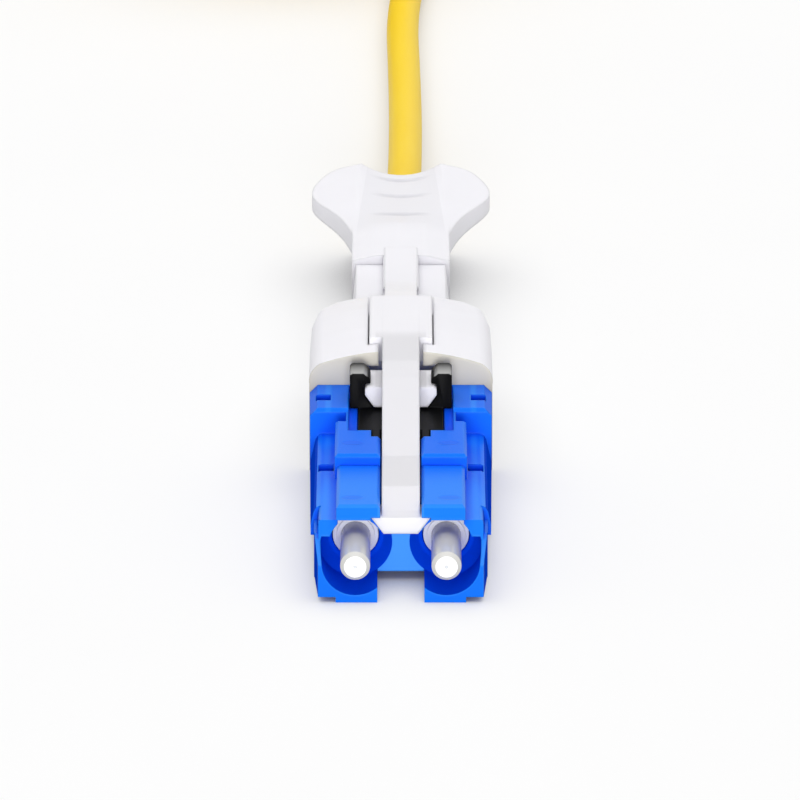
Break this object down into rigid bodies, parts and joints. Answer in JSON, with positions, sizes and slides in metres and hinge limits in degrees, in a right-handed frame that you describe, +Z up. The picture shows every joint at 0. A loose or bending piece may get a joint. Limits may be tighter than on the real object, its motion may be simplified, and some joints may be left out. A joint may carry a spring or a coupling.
{
  "type": "duplex fibre optic connector with cable",
  "caption": "Duplex push-pull fibre optic connector: blue front with bare ferrules, white hood and finger tab, and a round yellow cable stored as a tied hank.",
  "frame": {"origin": "midway between the ferrule axes, in the front plane of the noses", "axes": "+X right seen from behind the ferrule tips with the tab up, +Y back along the cable, +Z up out of the tab side"},
  "size_m": [0.0167, 0.1351, 0.0085],
  "materials": {
    "blue_plastic": "satin",
    "white_plastic": "satin",
    "black_plastic": "gloss",
    "zirconia": "polished",
    "spring_steel": "drawn",
    "nickel_collar": "satin",
    "natural_plastic": "matt",
    "aramid": "fibrous",
    "crimp_metal": "satin",
    "boot_rubber": "matt",
    "fibre_coat": "satin",
    "yellow_jacket": "satin"
  },
  "bodies": {
    "shell": {"front_housing": "blue_plastic", "rear_cover": "white_plastic", "latch_guide": "black_plastic", "back_post": "natural_plastic", "aramid_yarn": "aramid", "crimp_sleeve": "crimp_metal", "strain_relief": "boot_rubber", "inner_jacket": "yellow_jacket", "tab_spring": "spring_steel", "cable_run": "yellow_jacket", "cable_coil": "yellow_jacket", "cable_tie": "black_plastic", "ferrule_spring_left": "spring_steel", "ferrule_spring_right": "spring_steel"},
    "tab": {"pull_tab": "white_plastic"},
    "ferrule_left": {"ferrule_left": "zirconia", "collar_left": "nickel_collar", "flange_left": "white_plastic", "fibre_left": "fibre_coat"},
    "ferrule_right": {"ferrule_right": "zirconia", "collar_right": "nickel_collar", "flange_right": "white_plastic", "fibre_right": "fibre_coat"}
  },
  "joints": [
    {"name": "tab_pull", "type": "slide", "parent": "shell", "child": "tab", "axis": [0, 1, 0], "range_m": [0, 0.0015], "stiffness_N_per_m": 200, "deforming": ["tab_spring"]},
    {"name": "ferrule_left_float", "type": "slide", "parent": "shell", "child": "ferrule_left", "axis": [0, 1, 0], "range_m": [0, 0.0008], "stiffness_N_per_m": 1000, "deforming": ["ferrule_spring_left"]},
    {"name": "ferrule_right_float", "type": "slide", "parent": "shell", "child": "ferrule_right", "axis": [0, 1, 0], "range_m": [0, 0.0008], "stiffness_N_per_m": 1000, "deforming": ["ferrule_spring_right"]}
  ]
}
